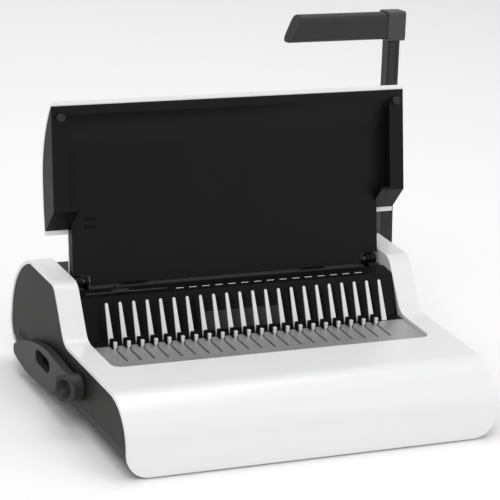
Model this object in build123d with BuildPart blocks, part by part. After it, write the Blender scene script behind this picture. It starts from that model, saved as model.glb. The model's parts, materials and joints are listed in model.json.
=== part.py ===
"""Manual comb binding machine: punch, comb opener, folding lid and chip drawer.

Frame: +X to the user's right, +Y to the rear, +Z up, origin on the table under the middle of the body.
"""

import os
from math import acos, atan2, cos, pi, radians, sin, tan

from build123d import *

os.makedirs("parts", exist_ok=True)

# Driving dimensions, in millimetres and degrees
pitch = 14.2875  # comb ring pitch, 9/16 inch
finger_count = 22
pin_count = 21
half_width = 196.0
front_y = -157.5
rear_y = 157.5
shoulder_z = 70.5
tower_z = 119.0
skirt_z = 2.0
foot_height = 4.5
wall = 3.5
skin = 2.4
panel = 2.5
nose_radius = 51.0
pan_radius = 22.0
arm_width = 24.0
bay_front_y = -57.5
gap = 0.3
seat_fit = 0.02
running_fit = 0.05
frame_thick = 3.0
handle_lean = 6.4
handle_travel = 97.0
handle_reach = 300.0
punch_y = 117.5
punch_z = 53.0
punch_shaft_radius = 6.5
disc_radius = 14.0
disc_throw = 6.0
disc_play = 0.4
opener_y = -38.0
opener_z = 45.0
opener_shaft_radius = 5.0
opener_travel = 115.0
gear_module = 1.5
gear_teeth = 20
backlash = 0.15
pressure_angle = 20.0
hinge_y = 62.0
hinge_pin_radius = 2.5
eye_radius = 5.0
lid_lean = 13.4
lid_height = 179.0
throat_front_y = 52.0
throat_width = 5.0
die_thick = 5.0
pin_width = 8.0
pin_height = 3.0
pin_play = 0.2
drawer_half = 95.0
drawer_top = 27.0

# Levels and places that follow from them
tray_z = shoulder_z - 3.0
tray_thick = 1.5
tray_bottom = tray_z - tray_thick
bay_half = half_width - arm_width
between_arms = bay_half - 0.5
frame_half = bay_half - 12.0
lid_half = half_width - 3.0
neck_half = bay_half - 3.0
hinge_z = tower_z - 7.0
cover_top = tower_z - 13.5
face_foot_y = 12.0
deck_front_y = 33.0
deck_front_z = tower_z - 13.7
deck_back_z = tower_z - 12.0
throat_back_y = throat_front_y + throat_width
pin_z = tower_z - 33.0
die_bottom = pin_z - 14.0
die_top = pin_z + 12.0
spacer_top = pin_z - 6.0
heel_y = rear_y - 11.5
crown_y = rear_y - 45.5
pan_floor = foot_height + panel
side_inner = half_width - 1.0 - panel
comb_start = -(finger_count - 1) / 2 * pitch
pin_start = -(pin_count - 1) / 2 * pitch
throw_start = (180.0 - handle_travel) / 2
punch_stroke = 2 * disc_throw * cos(radians(throw_start))
yoke_y = punch_y + disc_throw * cos(radians(throw_start))
disc_z = punch_z + disc_throw * sin(radians(throw_start))
pitch_radius = gear_module * gear_teeth / 2
tooth_pitch = pi * gear_module
rack_pitch_z = opener_z + pitch_radius
rack_root_z = rack_pitch_z + 1.25 * gear_module
rake_bottom = rack_root_z + 1.6
rake_top = rake_bottom + 1.5
rake_travel = pitch_radius * radians(opener_travel)
rake_back_y = -1.0
rake_front_y = -45.0

# Planes that stand at an angle
finger_lean = atan2(deck_front_y - face_foot_y, deck_front_z - tray_z)
face_normal = (0, -cos(finger_lean), sin(finger_lean))
finger_plane = Plane(origin=(0, 1.2, tray_z), x_dir=(1, 0, 0), z_dir=face_normal)
face_plane = Plane(origin=(0, face_foot_y, tray_z), x_dir=(1, 0, 0), z_dir=face_normal)
lean = radians(lid_lean)
lid_side = Plane(origin=(0, hinge_y, hinge_z), x_dir=(0, sin(lean), cos(lean)), z_dir=(1, 0, 0))
lid_front = Plane(origin=(0, hinge_y, hinge_z), x_dir=(1, 0, 0), z_dir=(0, -cos(lean), sin(lean)))
tilt = radians(handle_lean)
arm_side = Plane(origin=(0, punch_y, punch_z), x_dir=(0, cos(tilt), -sin(tilt)), z_dir=(1, 0, 0))

# Side outline of the body, with Y to the right and Z up
with BuildSketch() as body_outline:
    with BuildLine():
        Line((front_y, skirt_z), (front_y, shoulder_z - nose_radius))
        CenterArc((front_y + nose_radius, shoulder_z - nose_radius), nose_radius, 180, -90)
        FilletPolyline(
            (front_y + nose_radius, shoulder_z),
            (8, shoulder_z),
            (44, tower_z),
            (crown_y, tower_z),
            radius=18,
        )
        ThreePointArc((crown_y, tower_z), (heel_y, tower_z - 25), (rear_y, tower_z - 69))
        ThreePointArc((rear_y, tower_z - 69), (rear_y - 2.5, 33), (heel_y, 20))
        Polyline((heel_y, 20), (heel_y, skirt_z), (front_y, skirt_z))
    make_face()

with BuildSketch() as body_inside:
    add(body_outline.sketch)
    offset(amount=-wall)

# Housing: the band over front, shoulders and towers, with an inner wall on each arm
with BuildPart() as housing:
    with BuildSketch(Plane.YZ):
        add(body_outline.sketch)
        add(body_inside.sketch, mode=Mode.SUBTRACT)
    extrude(amount=half_width, both=True)
    with BuildSketch(Plane.YZ):
        with Locations((front_y + wall, 0)):
            Rectangle(400, 20, align=(Align.MIN, Align.MIN))
    extrude(amount=half_width + 1, both=True, mode=Mode.SUBTRACT)
    with BuildSketch(Plane.XY.offset(tray_z - 30)) as bay:
        with Locations((0, bay_front_y)):
            Rectangle(2 * bay_half, 300, align=(Align.CENTER, Align.MIN))
        fillet(bay.vertices().group_by(Axis.Y)[0], radius=10)
    extrude(amount=tower_z, mode=Mode.SUBTRACT)
    with BuildSketch(Plane.XY):
        with Locations((0, crown_y)):
            Rectangle(2 * bay_half, 100, align=(Align.CENTER, Align.MIN))
    extrude(amount=tower_z, mode=Mode.SUBTRACT)
    with BuildSketch(Plane.YZ.offset(bay_half), Plane.YZ.offset(-bay_half - panel)):
        add(body_outline.sketch)
        with Locations((bay_front_y + 10, tray_bottom - 4)):
            Rectangle(400, 100, align=(Align.MIN, Align.MIN), mode=Mode.INTERSECT)
    extrude(amount=panel)
    with BuildSketch(Plane.XZ.offset(front_y)) as front_view:
        with Locations((0, skirt_z)):
            Rectangle(2 * half_width, tower_z, align=(Align.CENTER, Align.MIN))
        fillet(front_view.vertices().group_by(Axis.Y)[0], radius=pan_radius + 2)
    extrude(amount=2 * front_y, both=True, mode=Mode.INTERSECT)

housing.part.label = "housing"
export_step(housing.part, "parts/housing.step")

# Side panels, set into the band; the left one has vents, each has a hole for its shaft
panel_foot = foot_height + pan_radius
with BuildSketch() as panel_outline:
    add(body_outline.sketch)
    offset(amount=-wall - gap)
    with Locations((front_y, panel_foot + gap)):
        Rectangle(400, 200, align=(Align.MIN, Align.MIN), mode=Mode.INTERSECT)

with BuildPart() as left_side_panel:
    with BuildSketch(Plane.YZ.offset(-side_inner - panel)):
        add(panel_outline.sketch)
        with Locations((opener_y, opener_z)):
            Circle(opener_shaft_radius + 1, mode=Mode.SUBTRACT)
        with Locations((118, 35)):
            with GridLocations(7, 1, 4, 1):
                SlotOverall(9, 2.2, rotation=80, mode=Mode.SUBTRACT)
    extrude(amount=panel)

left_side_panel.part.label = "left_side_panel"
export_step(left_side_panel.part, "parts/left_side_panel.step")

with BuildPart() as right_side_panel:
    with BuildSketch(Plane.YZ.offset(side_inner)):
        add(panel_outline.sketch)
        with Locations((punch_y, punch_z)):
            Circle(punch_shaft_radius + 1, mode=Mode.SUBTRACT)
    extrude(amount=panel)

right_side_panel.part.label = "right_side_panel"
export_step(right_side_panel.part, "parts/right_side_panel.step")

# Bottom pan: a channel from front to back, with drawer rails and a rear wall
pan_front = front_y + wall + 1.0
pan_back = heel_y - wall - 1.0
foot_spots = [(x, y) for x in (-150, 150) for y in (front_y + 38, rear_y - 48)]
foot_stem = 3.0
with BuildPart() as bottom_pan:
    with BuildSketch(Plane.XZ.offset(-pan_front)) as channel:
        with Locations((0, foot_height)):
            Rectangle(2 * half_width - 2, 100, align=(Align.CENTER, Align.MIN))
        fillet(channel.vertices().group_by(Axis.Y)[0], radius=pan_radius)
        offset(amount=-panel, kind=Kind.INTERSECTION, mode=Mode.SUBTRACT)
        with Locations((0, panel_foot)):
            Rectangle(500, 200, align=(Align.CENTER, Align.MIN), mode=Mode.SUBTRACT)
    extrude(amount=pan_front - pan_back)
    with BuildSketch(Plane.XZ.offset(-pan_back)):
        with Locations((0, foot_height)):
            Rectangle(2 * side_inner - 40, pan_radius, align=(Align.CENTER, Align.MIN))
        with Locations((0, pan_floor)):
            Rectangle(2 * drawer_half + 3, 40, align=(Align.CENTER, Align.MIN), mode=Mode.SUBTRACT)
    extrude(amount=panel)
    with BuildSketch(Plane.XY.offset(pan_floor)):
        for side in (-1, 1):
            with Locations((side * (drawer_half + 1.5), 75)):
                Rectangle(2, 120)
    extrude(amount=12)
    with BuildSketch(Plane.XY):
        with Locations(*foot_spots):
            Circle(foot_stem + running_fit)
    extrude(amount=20, mode=Mode.SUBTRACT)

bottom_pan.part.label = "bottom_pan"
export_step(bottom_pan.part, "parts/bottom_pan.step")

# Rubber feet, pushed through the pan
foot_lock = pan_floor + running_fit
with BuildPart() as foot:
    with BuildSketch(Plane.XZ):
        with BuildLine():
            Polyline(
                (0, 0),
                (9, 0),
                (10, 1),
                (10, foot_height),
                (foot_stem, foot_height),
                (foot_stem, foot_lock),
                (foot_stem + 1.2, foot_lock),
                (foot_stem, foot_lock + 2),
                (0, foot_lock + 2),
                (0, 0),
            )
        make_face()
    revolve(axis=Axis.Z)

with BuildPart() as feet:
    with Locations(*[(x, y, 0) for x, y in foot_spots]):
        add(foot.part)

feet.part.label = "feet"
export_step(feet.part, "parts/feet.step")

# Side frames of steel plate, with bores for both shafts' bushings
bush_wall = 2.5
punch_bush = punch_shaft_radius + running_fit + bush_wall
opener_bush = opener_shaft_radius + running_fit + bush_wall
bracket_back_y = throat_back_y + die_thick + 12
with BuildSketch() as frame_outline:
    with BuildLine():
        Polyline(
            (bay_front_y + 1.5, pan_floor),
            (bay_front_y + 1.5, tray_bottom),
            (38, tray_bottom),
            (44, die_top),
            (bracket_back_y, die_top),
            (punch_y - 17, punch_z + 25),
            (heel_y - 7, punch_z + 25),
            (heel_y - 7, pan_floor),
            (bay_front_y + 1.5, pan_floor),
        )
    make_face()
    with Locations((punch_y, punch_z)):
        Circle(punch_bush + seat_fit, mode=Mode.SUBTRACT)
    with Locations((opener_y, opener_z)):
        Circle(opener_bush + seat_fit, mode=Mode.SUBTRACT)

with BuildPart() as frame_left:
    with BuildSketch(Plane.YZ.offset(-frame_half - frame_thick)):
        add(frame_outline.sketch)
    extrude(amount=frame_thick)

frame_left.part.label = "frame_left"
export_step(frame_left.part, "parts/frame_left.step")

with BuildPart() as frame_right:
    with BuildSketch(Plane.YZ.offset(frame_half)):
        add(frame_outline.sketch)
    extrude(amount=frame_thick)

frame_right.part.label = "frame_right"
export_step(frame_right.part, "parts/frame_right.step")

# Round ties between the frames
with BuildPart() as frame_ties:
    with BuildSketch(Plane.YZ):
        with Locations((bay_front_y + 11, 20), (throat_back_y + 13, punch_z - 8)):
            Circle(4)
    extrude(amount=frame_half, both=True)

frame_ties.part.label = "frame_ties"
export_step(frame_ties.part, "parts/frame_ties.step")

# Bushings: a sleeve in the plate with a flange on its inner face
with BuildPart() as bushings:
    for side_y, side_z, bore, outer in (
        (punch_y, punch_z, punch_shaft_radius + running_fit, punch_bush),
        (opener_y, opener_z, opener_shaft_radius + running_fit, opener_bush),
    ):
        with BuildSketch(Plane.YZ.offset(frame_half)):
            with Locations((side_y, side_z)):
                Circle(outer)
                Circle(bore, mode=Mode.SUBTRACT)
        extrude(amount=frame_thick)
        with BuildSketch(Plane.YZ.offset(frame_half - 1.5)):
            with Locations((side_y, side_z)):
                Circle(outer + 2)
                Circle(bore, mode=Mode.SUBTRACT)
        extrude(amount=1.5)
    mirror(about=Plane.YZ)

bushings.part.label = "bushings"
export_step(bushings.part, "parts/bushings.step")

# Tray plate under the comb, slotted for the opener's hooks
slot_width = 2.0
hook_shift = 0.4
window_width = 6.0
slot_front_y = rake_back_y - 7.5 - rake_travel
with BuildPart() as tray_plate:
    with BuildSketch(Plane.XY.offset(tray_bottom)) as tray:
        with Locations((0, bay_front_y + 0.3)):
            Rectangle(2 * bay_half - 2, rake_back_y - bay_front_y, align=(Align.CENTER, Align.MIN))
        fillet(tray.vertices().group_by(Axis.Y)[0], radius=10)
        for hook in range(pin_count):
            hook_x = comb_start + hook * pitch + hook_shift
            with Locations((hook_x, slot_front_y)):
                Rectangle(slot_width, 60, align=(Align.CENTER, Align.MIN), mode=Mode.SUBTRACT)
            with Locations((hook_x, rake_back_y - 8)):
                Rectangle(window_width, 20, align=(Align.CENTER, Align.MIN), mode=Mode.SUBTRACT)
    extrude(amount=tray_thick)

tray_plate.part.label = "tray_plate"
export_step(tray_plate.part, "parts/tray_plate.step")

# Comb fingers: upright tapered tines standing on a flange behind the tray
with BuildPart() as finger_flange:
    with BuildSketch(Plane.XY.offset(tray_bottom)):
        with Locations((0, rake_back_y + 0.4)):
            Rectangle(2 * bay_half - 2, 17, align=(Align.CENTER, Align.MIN))
    extrude(amount=tray_thick)

finger_flange.part.label = "finger_flange"
export_step(finger_flange.part, "parts/finger_flange.step")

finger_length = (deck_front_z - tray_z) / cos(finger_lean) - 1.5
finger_thick = 1.6
with BuildPart() as comb_fingers:
    with BuildSketch(finger_plane):
        for finger in range(finger_count):
            with Locations((comb_start + finger * pitch, 0)):
                Polygon(
                    (-2.9, -1),
                    (2.9, -1),
                    (1.5, finger_length - 1.5),
                    (-1.5, finger_length - 1.5),
                    align=None,
                )
            with Locations((comb_start + finger * pitch, finger_length - 1.5)):
                Circle(1.5)
    extrude(amount=finger_thick / 2, both=True)
    with BuildSketch(Plane.XY.offset(tray_z)):
        Rectangle(2 * half_width, 40)
    extrude(amount=-10, mode=Mode.SUBTRACT)

comb_fingers.part.label = "comb_fingers"
export_step(comb_fingers.part, "parts/comb_fingers.step")

# Small black guards between the fingers' feet and the hooks
guard_width = 8.4
guard_height = 8.0
with BuildPart() as hook_guards:
    with BuildSketch(Plane.XZ.offset(-rake_back_y - 0.4)):
        for guard in range(pin_count):
            with Locations((comb_start + guard * pitch + 1.1, tray_z)):
                Rectangle(guard_width, guard_height, align=(Align.CENTER, Align.MIN))
    extrude(amount=-0.8)

hook_guards.part.label = "hook_guards"
export_step(hook_guards.part, "parts/hook_guards.step")

# Punch cover: sloping face behind the fingers, deck, throat lip and end cheeks
with BuildPart() as punch_cover:
    with BuildSketch(Plane.YZ):
        with BuildLine():
            Polyline(
                (face_foot_y, tray_z),
                (deck_front_y, deck_front_z),
                (throat_front_y, deck_back_z),
                (throat_front_y, die_top + 1),
                (throat_front_y - 2, die_top + 1),
                (throat_front_y - 2, deck_back_z - 2.2),
                (deck_front_y + 1.2, deck_front_z - 2),
                (face_foot_y + 2.4, tray_z),
                (face_foot_y, tray_z),
            )
        make_face()
    extrude(amount=between_arms, both=True)
    with BuildSketch(Plane.YZ.offset(between_arms - panel), Plane.YZ.offset(-between_arms)):
        Polygon(
            (face_foot_y, tray_z),
            (deck_front_y, deck_front_z),
            (throat_front_y, deck_back_z),
            (throat_front_y, tray_z),
            align=None,
        )
    extrude(amount=panel)
    with BuildSketch(face_plane):
        for rib_x in (comb_start + 0.35 * pitch, -52, 52, -comb_start - 0.35 * pitch):
            with Locations((rib_x, finger_length / 2)):
                Rectangle(2, finger_length - 8)
    extrude(amount=1.2)

punch_cover.part.label = "punch_cover"
export_step(punch_cover.part, "parts/punch_cover.step")

# Plate on the sloping face that keeps a comb's spine straight
with BuildPart() as comb_guide_plate:
    with BuildSketch(face_plane):
        with Locations((-3.5, 11)):
            RectangleRounded(87, 19, 2)
    extrude(amount=1.2)

comb_guide_plate.part.label = "comb_guide_plate"
export_step(comb_guide_plate.part, "parts/comb_guide_plate.step")

# Edge guide: a rail on the deck and a slider whose blade reaches into the throat
rail_y = throat_front_y - 12
rail_top = deck_back_z + 0.4
rail_bottom = deck_front_z + (rail_y - 1.5 - deck_front_y) * 1.7 / (throat_front_y - deck_front_y)
with BuildPart() as edge_guide_rail:
    with BuildSketch(Plane.YZ.offset(-bay_half + 8)):
        with Locations((rail_y, rail_top)):
            Rectangle(3, rail_top - rail_bottom - 0.35, align=(Align.CENTER, Align.MAX))
    extrude(amount=86)

edge_guide_rail.part.label = "edge_guide_rail"
export_step(edge_guide_rail.part, "parts/edge_guide_rail.step")

slider_x = -127.0
slider_top = tower_z - 10.7
slider_bottom = deck_back_z - 0.1
with BuildPart() as edge_guide:
    with BuildSketch(Plane.YZ.offset(slider_x - 9)):
        with Locations((rail_y - 2.8, slider_bottom)):
            Rectangle(8, slider_top - slider_bottom, align=(Align.MIN, Align.MIN))
        with Locations((rail_y, rail_top + gap)):
            Rectangle(3 + 2 * gap, 10, align=(Align.CENTER, Align.MAX), mode=Mode.SUBTRACT)
    extrude(amount=18)
    with BuildSketch(Plane.YZ.offset(slider_x - 1)):
        with Locations((rail_y + 4, deck_back_z + 0.3)):
            Rectangle(throat_back_y - rail_y - 4.5, 1, align=(Align.MIN, Align.MIN))
        with Locations((throat_front_y + 0.5, pin_z + 5)):
            Rectangle(throat_width - 1, deck_back_z - pin_z - 3.7, align=(Align.MIN, Align.MIN))
    extrude(amount=2)

edge_guide.part.label = "edge_guide"
export_step(edge_guide.part, "parts/edge_guide.step")

# Rear cover between the arms: throat lip, top, rounded back and drawer opening
bracket_inner = frame_half - 6
bracket_thick = 4.0
with BuildPart() as rear_cover:
    with BuildSketch(Plane.YZ) as rear_section:
        add(body_outline.sketch)
        with Locations((throat_back_y, foot_height + 2)):
            Rectangle(
                200, cover_top - foot_height - 2, align=(Align.MIN, Align.MIN), mode=Mode.INTERSECT
            )
        offset(amount=-skin, mode=Mode.SUBTRACT)
        with Locations((throat_back_y - 1, 0)):
            Rectangle(
                heel_y - skin - throat_back_y + 1, 12, align=(Align.MIN, Align.MIN), mode=Mode.SUBTRACT
            )
            Rectangle(2 + skin, die_top + 0.5, align=(Align.MIN, Align.MIN), mode=Mode.SUBTRACT)
    extrude(amount=between_arms, both=True)
    with BuildSketch(Plane.XY.offset(die_top)):
        for side in (-1, 1):
            with Locations((side * (bracket_inner + bracket_thick / 2), throat_back_y - 1)):
                Rectangle(
                    bracket_thick + 1,
                    bracket_back_y - throat_back_y + 1.5,
                    align=(Align.CENTER, Align.MIN),
                )
    extrude(amount=30, mode=Mode.SUBTRACT)
    with BuildSketch(Plane.XZ.offset(-heel_y + 20)):
        Rectangle(2 * drawer_half + 3, 2 * drawer_top + 3)
    extrude(amount=-60, mode=Mode.SUBTRACT)

rear_cover.part.label = "rear_cover"
export_step(rear_cover.part, "parts/rear_cover.step")

# Dies: two slotted bars with a spacer between them that sets the paper throat
bolt_spots = [(x, die_bottom + 4) for x in (-10 * pitch, -3.5 * pitch, 3.5 * pitch, 10 * pitch)]
bolt_radius = 2.0
with BuildSketch() as die_face:
    with Locations((0, die_bottom)):
        Rectangle(2 * frame_half, die_top - die_bottom, align=(Align.CENTER, Align.MIN))
    with Locations((0, pin_z)):
        with GridLocations(pitch, 1, pin_count, 1):
            Rectangle(pin_width + 2 * pin_play, pin_height + 2 * pin_play, mode=Mode.SUBTRACT)
    with Locations(*bolt_spots):
        Circle(bolt_radius + seat_fit, mode=Mode.SUBTRACT)

with BuildPart() as die_front:
    with BuildSketch(Plane.XZ.offset(-throat_front_y)):
        add(die_face.sketch)
    extrude(amount=die_thick)

die_front.part.label = "die_front"
export_step(die_front.part, "parts/die_front.step")

with BuildPart() as die_back:
    with BuildSketch(Plane.XZ.offset(-throat_back_y - die_thick)):
        add(die_face.sketch)
    extrude(amount=die_thick)

die_back.part.label = "die_back"
export_step(die_back.part, "parts/die_back.step")

with BuildPart() as die_spacer:
    with BuildSketch(Plane.XZ.offset(-throat_back_y)):
        with Locations((0, die_bottom)):
            Rectangle(2 * frame_half, spacer_top - die_bottom, align=(Align.CENTER, Align.MIN))
        with Locations(*bolt_spots):
            Circle(bolt_radius + seat_fit, mode=Mode.SUBTRACT)
    extrude(amount=throat_width)

die_spacer.part.label = "die_spacer"
export_step(die_spacer.part, "parts/die_spacer.step")

with BuildPart() as die_bolts:
    with BuildSketch(Plane.XZ.offset(-throat_back_y - die_thick)):
        with Locations(*bolt_spots):
            Circle(bolt_radius)
    extrude(amount=throat_width + 2 * die_thick)
    with BuildSketch(Plane.XZ.offset(-throat_front_y + die_thick)):
        with Locations(*bolt_spots):
            Circle(3.6)
    extrude(amount=2.4)
    with BuildSketch(Plane.XZ.offset(-throat_back_y - die_thick - 2.4)):
        with Locations(*bolt_spots):
            RegularPolygon(3.8, 6)
    extrude(amount=2.4)

die_bolts.part.label = "die_bolts"
export_step(die_bolts.part, "parts/die_bolts.step")

# Hinge brackets behind the rear die, and the pins they hold
with BuildPart() as hinge_brackets:
    with BuildSketch(Plane.YZ.offset(bracket_inner), Plane.YZ.offset(-bracket_inner - bracket_thick)):
        Polygon(
            (throat_back_y + die_thick, die_bottom + 4),
            (bracket_back_y, die_bottom + 4),
            (bracket_back_y, die_top),
            (hinge_y + eye_radius, hinge_z),
            (hinge_y - eye_radius, hinge_z),
            (throat_back_y + die_thick, die_top + 2),
            align=None,
        )
        with Locations((hinge_y, hinge_z)):
            Circle(eye_radius)
            Circle(hinge_pin_radius + seat_fit, mode=Mode.SUBTRACT)
    extrude(amount=bracket_thick)

hinge_brackets.part.label = "hinge_brackets"
export_step(hinge_brackets.part, "parts/hinge_brackets.step")

eye_half = 7.0
eye_inner = frame_half - 0.6
with BuildPart() as hinge_pins:
    with BuildSketch(Plane.YZ.offset(bracket_inner - 1.5)):
        with Locations((hinge_y, hinge_z)):
            Circle(hinge_pin_radius)
    extrude(amount=eye_inner + eye_half - bracket_inner + 1.5)
    mirror(about=Plane.YZ)

hinge_pins.part.label = "hinge_pins"
export_step(hinge_pins.part, "parts/hinge_pins.step")

# Lid, drawn in its own side view: along the lid and towards the user from the hinge line
rim = 15.4
back = -12.0
flank = (rim - back) / 1.2
wing_foot = 46.0
with BuildSketch() as lid_outline:
    with BuildLine():
        Polyline((wing_foot + flank, rim), (wing_foot, back), (82, back - 3), (95, back - 3))
        ThreePointArc((95, back - 3), (lid_height - 29, -4), (lid_height, rim))
        Line((lid_height, rim), (wing_foot + flank, rim))
    make_face()

with BuildSketch() as lid_hollow:
    with BuildLine():
        Polyline((wing_foot + 2 * flank, 2 * rim - back), (wing_foot, back), (82, back - 3), (95, back - 3))
        ThreePointArc((95, back - 3), (lid_height - 29, -4), (lid_height, rim))
        Polyline(
            (lid_height, rim),
            (lid_height + 30, 2 * rim - back),
            (wing_foot + 2 * flank, 2 * rim - back),
        )
    make_face()
    offset(amount=-skin)

with BuildPart() as lid_cover:
    with BuildSketch(lid_side):
        add(lid_outline.sketch)
    extrude(amount=lid_half, both=True)
    with BuildSketch(lid_side):
        Polygon((3, back), (wing_foot, back), (57, back - 0.9), (57, 0), (3, 0), align=None)
    extrude(amount=neck_half, both=True)
    with BuildSketch(lid_side):
        add(lid_hollow.sketch)
        with Locations((-14, 0)):
            add(lid_hollow.sketch)
        Polygon(
            (0, back + skin), (wing_foot, back + skin), (75, back), (75, 40), (0, 40), align=None
        )
    extrude(amount=lid_half + 1, both=True, mode=Mode.SUBTRACT)

lid_cover.part.label = "lid_cover"
export_step(lid_cover.part, "parts/lid_cover.step")

# Lid liner: side walls, sloped wing ends, border and the shallow recess that holds a document
border_top = rim - 0.8
liner = 2.0
recess_half = lid_half - 16
neck_wall = neck_half - skin
skirt_drop = 4.8
with BuildSketch() as lid_back_space:
    add(lid_hollow.sketch)
    offset(amount=-liner)
    with Locations((0, border_top - liner)):
        Rectangle(400, 100, align=(Align.MIN, Align.MIN), mode=Mode.SUBTRACT)

with BuildPart() as lid_liner:
    with BuildSketch(lid_side):
        add(lid_hollow.sketch)
        with Locations((0, border_top)):
            Rectangle(400, 100, align=(Align.MIN, Align.MIN), mode=Mode.SUBTRACT)
    extrude(amount=lid_half, both=True)
    with BuildSketch(lid_side):
        add(lid_back_space.sketch)
        with Locations((0, -6)):
            add(lid_back_space.sketch)
    extrude(amount=lid_half - liner, both=True, mode=Mode.SUBTRACT)
    with BuildSketch(lid_side):
        with BuildLine():
            Polyline((wing_foot + 26.3, border_top), (wing_foot + 12.5, -liner), (lid_height - 50, -liner))
            ThreePointArc(
                (lid_height - 50, -liner), (lid_height - 25, 4), (lid_height - 9, border_top)
            )
            Line((lid_height - 9, border_top), (wing_foot + 26.3, border_top))
        make_face()
    extrude(amount=recess_half + liner, both=True)
    with BuildSketch(lid_side):
        with Locations((eye_radius + 0.7, -liner)):
            Rectangle(60, liner, align=(Align.MIN, Align.MIN))
    extrude(amount=neck_half, both=True)
    with BuildSketch(lid_side):
        with Locations((-skirt_drop, -liner)):
            Rectangle(skirt_drop + 10, liner, align=(Align.MIN, Align.MIN))
    extrude(amount=bracket_inner - 4, both=True)
    with BuildSketch(lid_side.offset(neck_wall), lid_side.offset(-neck_half)):
        with Locations((eye_radius + 0.7, back + skin)):
            Rectangle(46, -back - skin, align=(Align.MIN, Align.MIN))
    extrude(amount=skin)
    with BuildSketch(lid_side):
        with BuildLine():
            Polyline((wing_foot + 32.9, rim + 4), (wing_foot + 15, 0), (lid_height - 51, 0))
            ThreePointArc((lid_height - 51, 0), (lid_height - 27, 5.6), (lid_height - 8.6, rim + 4))
            Line((lid_height - 8.6, rim + 4), (wing_foot + 32.9, rim + 4))
        make_face()
    extrude(amount=recess_half, both=True, mode=Mode.SUBTRACT)
    with BuildSketch(lid_side):
        Rectangle(wing_foot + 30, rim + 4, align=(Align.MIN, Align.MIN))
    extrude(amount=neck_wall, both=True, mode=Mode.SUBTRACT)

lid_liner.part.label = "lid_liner"
export_step(lid_liner.part, "parts/lid_liner.step")

# Rubber buttons on the rim that meet the arms when the lid is shut
with BuildPart() as lid_bumpers:
    with BuildSketch(lid_front.offset(border_top)):
        with Locations((-lid_half + 9, lid_height - 16), (lid_half - 9, lid_height - 16)):
            Circle(4)
    extrude(amount=4.6)

lid_bumpers.part.label = "lid_bumpers"
export_step(lid_bumpers.part, "parts/lid_bumpers.step")

# Knuckles that turn on the hinge pins
with BuildPart() as lid_knuckles:
    with BuildSketch(lid_side.offset(eye_inner), lid_side.offset(-eye_inner - eye_half)):
        Circle(eye_radius)
        Polygon(
            (0, -eye_radius),
            (6, back + skin),
            (26, back + skin),
            (26, -liner),
            (0, -liner),
            align=None,
        )
        Circle(hinge_pin_radius + running_fit, mode=Mode.SUBTRACT)
    extrude(amount=eye_half - 0.6)

lid_knuckles.part.label = "lid_knuckles"
export_step(lid_knuckles.part, "parts/lid_knuckles.step")

# Pads on the rear cover that the open lid rests on
lid_heel_z = hinge_z + 3 * cos(lean) + back * sin(lean)
with BuildPart() as lid_rest_pads:
    with BuildSketch(Plane.XY.offset(cover_top)):
        with Locations((-100, hinge_y + 12), (100, hinge_y + 12)):
            RectangleRounded(26, 11, 3)
    extrude(amount=lid_heel_z - cover_top - gap)

lid_rest_pads.part.label = "lid_rest_pads"
export_step(lid_rest_pads.part, "parts/lid_rest_pads.step")

# Handle outside the right panel: arm, grip across the front of the lid, corner block, cap
arm_inner = half_width + 1.5
arm_outer = half_width + 18
grip_foot = handle_reach - 31
hub_radius = 20.0
with BuildPart() as handle_arm:
    with BuildSketch(arm_side.offset(arm_inner + 2.5)):
        Circle(hub_radius)
        Polygon(
            (-15, 0), (-6.5, 150), (-6.5, grip_foot), (6.5, grip_foot), (6.5, 150), (15, 0), align=None
        )
    extrude(amount=arm_outer - arm_inner - 2.5)
    with BuildSketch(arm_side.offset(arm_inner)):
        Circle(hub_radius - 2)
    extrude(amount=2.5)
    with BuildSketch(arm_side):
        Circle(punch_shaft_radius + seat_fit)
    extrude(amount=arm_outer - 2, mode=Mode.SUBTRACT)

handle_arm.part.label = "handle_arm"
export_step(handle_arm.part, "parts/handle_arm.step")

grip_left = 84.0
grip_height = 28.0
grip_slant = 14.0
with BuildPart() as handle_grip:
    with BuildSketch(arm_side.offset(grip_left)):
        with Locations((0, grip_foot + 15.5)):
            RectangleRounded(20, grip_height, 7)
    extrude(amount=half_width + 1 - grip_left)
    with BuildSketch(Plane(origin=arm_side.origin, x_dir=(1, 0, 0), z_dir=(0, -cos(tilt), sin(tilt)))):
        Polygon(
            (grip_left - 1, handle_reach + 1),
            (grip_left + grip_slant, handle_reach + 1),
            (grip_left, grip_foot),
            (grip_left - 1, grip_foot),
            align=None,
        )
    extrude(amount=20, both=True, mode=Mode.SUBTRACT)

handle_grip.part.label = "handle_grip"
export_step(handle_grip.part, "parts/handle_grip.step")

with BuildPart() as handle_corner:
    with BuildSketch(arm_side.offset(half_width + 1)):
        with Locations((0, grip_foot + 15.5)):
            RectangleRounded(21, 31, 3)
    extrude(amount=21)

handle_corner.part.label = "handle_corner"
export_step(handle_corner.part, "parts/handle_corner.step")

with BuildPart() as hub_cap:
    with BuildSketch(arm_side.offset(arm_outer)) as cap_face:
        Circle(13)
    extrude(amount=3)
    chamfer(hub_cap.edges().group_by(Axis.X)[-1], length=1.2)

hub_cap.part.label = "hub_cap"
export_step(hub_cap.part, "parts/hub_cap.step")

# Punch shaft with two eccentric discs that drive the punch bar through slotted yokes
with BuildPart() as punch_shaft:
    with BuildSketch(Plane.YZ.offset(-frame_half - frame_thick - 2)):
        with Locations((punch_y, punch_z)):
            Circle(punch_shaft_radius)
    extrude(amount=frame_half + frame_thick + arm_outer - 0.5)

punch_shaft.part.label = "punch_shaft"
export_step(punch_shaft.part, "parts/punch_shaft.step")

yoke_x = 110.0
yoke_thick = 8.0
with BuildPart() as eccentric_discs:
    with BuildSketch(Plane.YZ.offset(yoke_x - yoke_thick / 2), Plane.YZ.offset(-yoke_x - yoke_thick / 2)):
        with Locations((yoke_y, disc_z)):
            Circle(disc_radius)
        with Locations((punch_y, punch_z)):
            Circle(punch_shaft_radius + seat_fit, mode=Mode.SUBTRACT)
    extrude(amount=yoke_thick)

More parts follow.
